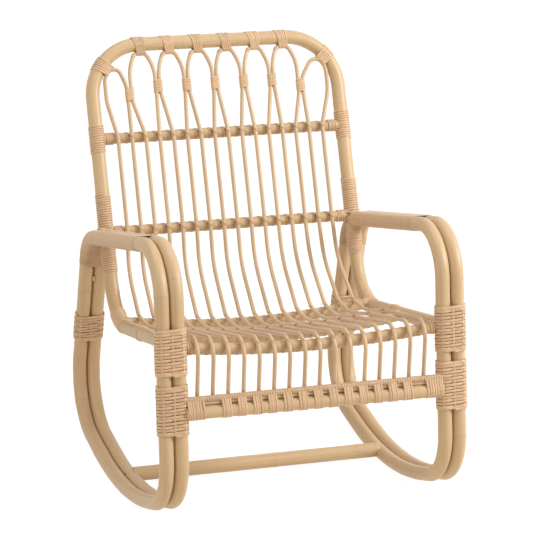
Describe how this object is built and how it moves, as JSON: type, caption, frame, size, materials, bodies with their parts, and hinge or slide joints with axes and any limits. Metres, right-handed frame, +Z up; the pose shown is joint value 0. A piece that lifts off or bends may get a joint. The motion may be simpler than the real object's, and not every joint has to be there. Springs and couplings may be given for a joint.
{
  "type": "rattan rocking chair",
  "caption": "Low rattan rocking chair: paired bent-pole side loops that are arms, legs and runners in one, an arched cane back running on into the dished seat, and bound joints.",
  "frame": {"origin": "on the floor under the middle of the chair's bounding box", "axes": "+Z up, -Y the front of the chair, +X to the viewer's right when the viewer faces the front"},
  "size_m": [0.664, 0.7525, 0.8899],
  "materials": {
    "rattan_pole": "clear satin lacquer on peeled rattan",
    "rattan_cane": "satin, thin rattan cane",
    "binding_cane": "satin, split rattan strand",
    "steel_screw": "plain zinc-plated steel"
  },
  "bodies": {
    "root": {"apron_middle_cane": "rattan_cane", "apron_pole": "rattan_pole", "apron_top_cane": "rattan_cane", "apron_windings": "binding_cane", "arch_pair_bindings": "binding_cane", "back_frame": "rattan_pole", "bar_screws": "steel_screw", "cane_hairpin_1": "rattan_cane", "cane_hairpin_2": "rattan_cane", "cane_hairpin_3": "rattan_cane", "cane_hairpin_4": "rattan_cane", "cane_hairpin_5": "rattan_cane", "cane_hairpin_6": "rattan_cane", "cane_hairpin_7": "rattan_cane", "cane_hairpin_8": "rattan_cane", "floor_stretcher": "rattan_pole", "front_bar_end_windings": "binding_cane", "left_above_arm_winding": "binding_cane", "left_arm_wrap": "binding_cane", "left_below_arm_winding": "binding_cane", "left_front_leg_lower_band": "binding_cane", "left_front_leg_upper_band": "binding_cane", "left_inner_loop": "rattan_pole", "left_leg_wedge": "binding_cane", "left_outer_loop": "rattan_pole", "left_rail_winding": "binding_cane", "left_rear_leg_band": "binding_cane", "left_seat_corner_winding": "binding_cane", "left_seat_rail": "rattan_pole", "left_upper_joint_winding": "binding_cane", "leg_screws": "steel_screw", "loop_screws": "steel_screw", "middle_back_bar": "rattan_pole", "middle_bar_end_windings": "binding_cane", "middle_bar_ties": "binding_cane", "right_above_arm_winding": "binding_cane", "right_arm_wrap": "binding_cane", "right_below_arm_winding": "binding_cane", "right_front_leg_lower_band": "binding_cane", "right_front_leg_upper_band": "binding_cane", "right_inner_loop": "rattan_pole", "right_leg_wedge": "binding_cane", "right_outer_loop": "rattan_pole", "right_rail_winding": "binding_cane", "right_rear_leg_band": "binding_cane", "right_seat_corner_winding": "binding_cane", "right_seat_rail": "rattan_pole", "right_upper_joint_winding": "binding_cane", "seat_front_bar": "rattan_pole", "seat_front_bar_ties": "binding_cane", "seat_middle_bar": "rattan_pole", "seat_middle_bar_ties": "binding_cane", "seat_rear_bar": "rattan_pole", "seat_rear_bar_ties": "binding_cane", "top_rail_bindings": "binding_cane", "upper_back_bar": "rattan_pole", "upper_bar_end_windings": "binding_cane", "upper_bar_ties": "binding_cane"}
  },
  "joints": []
}
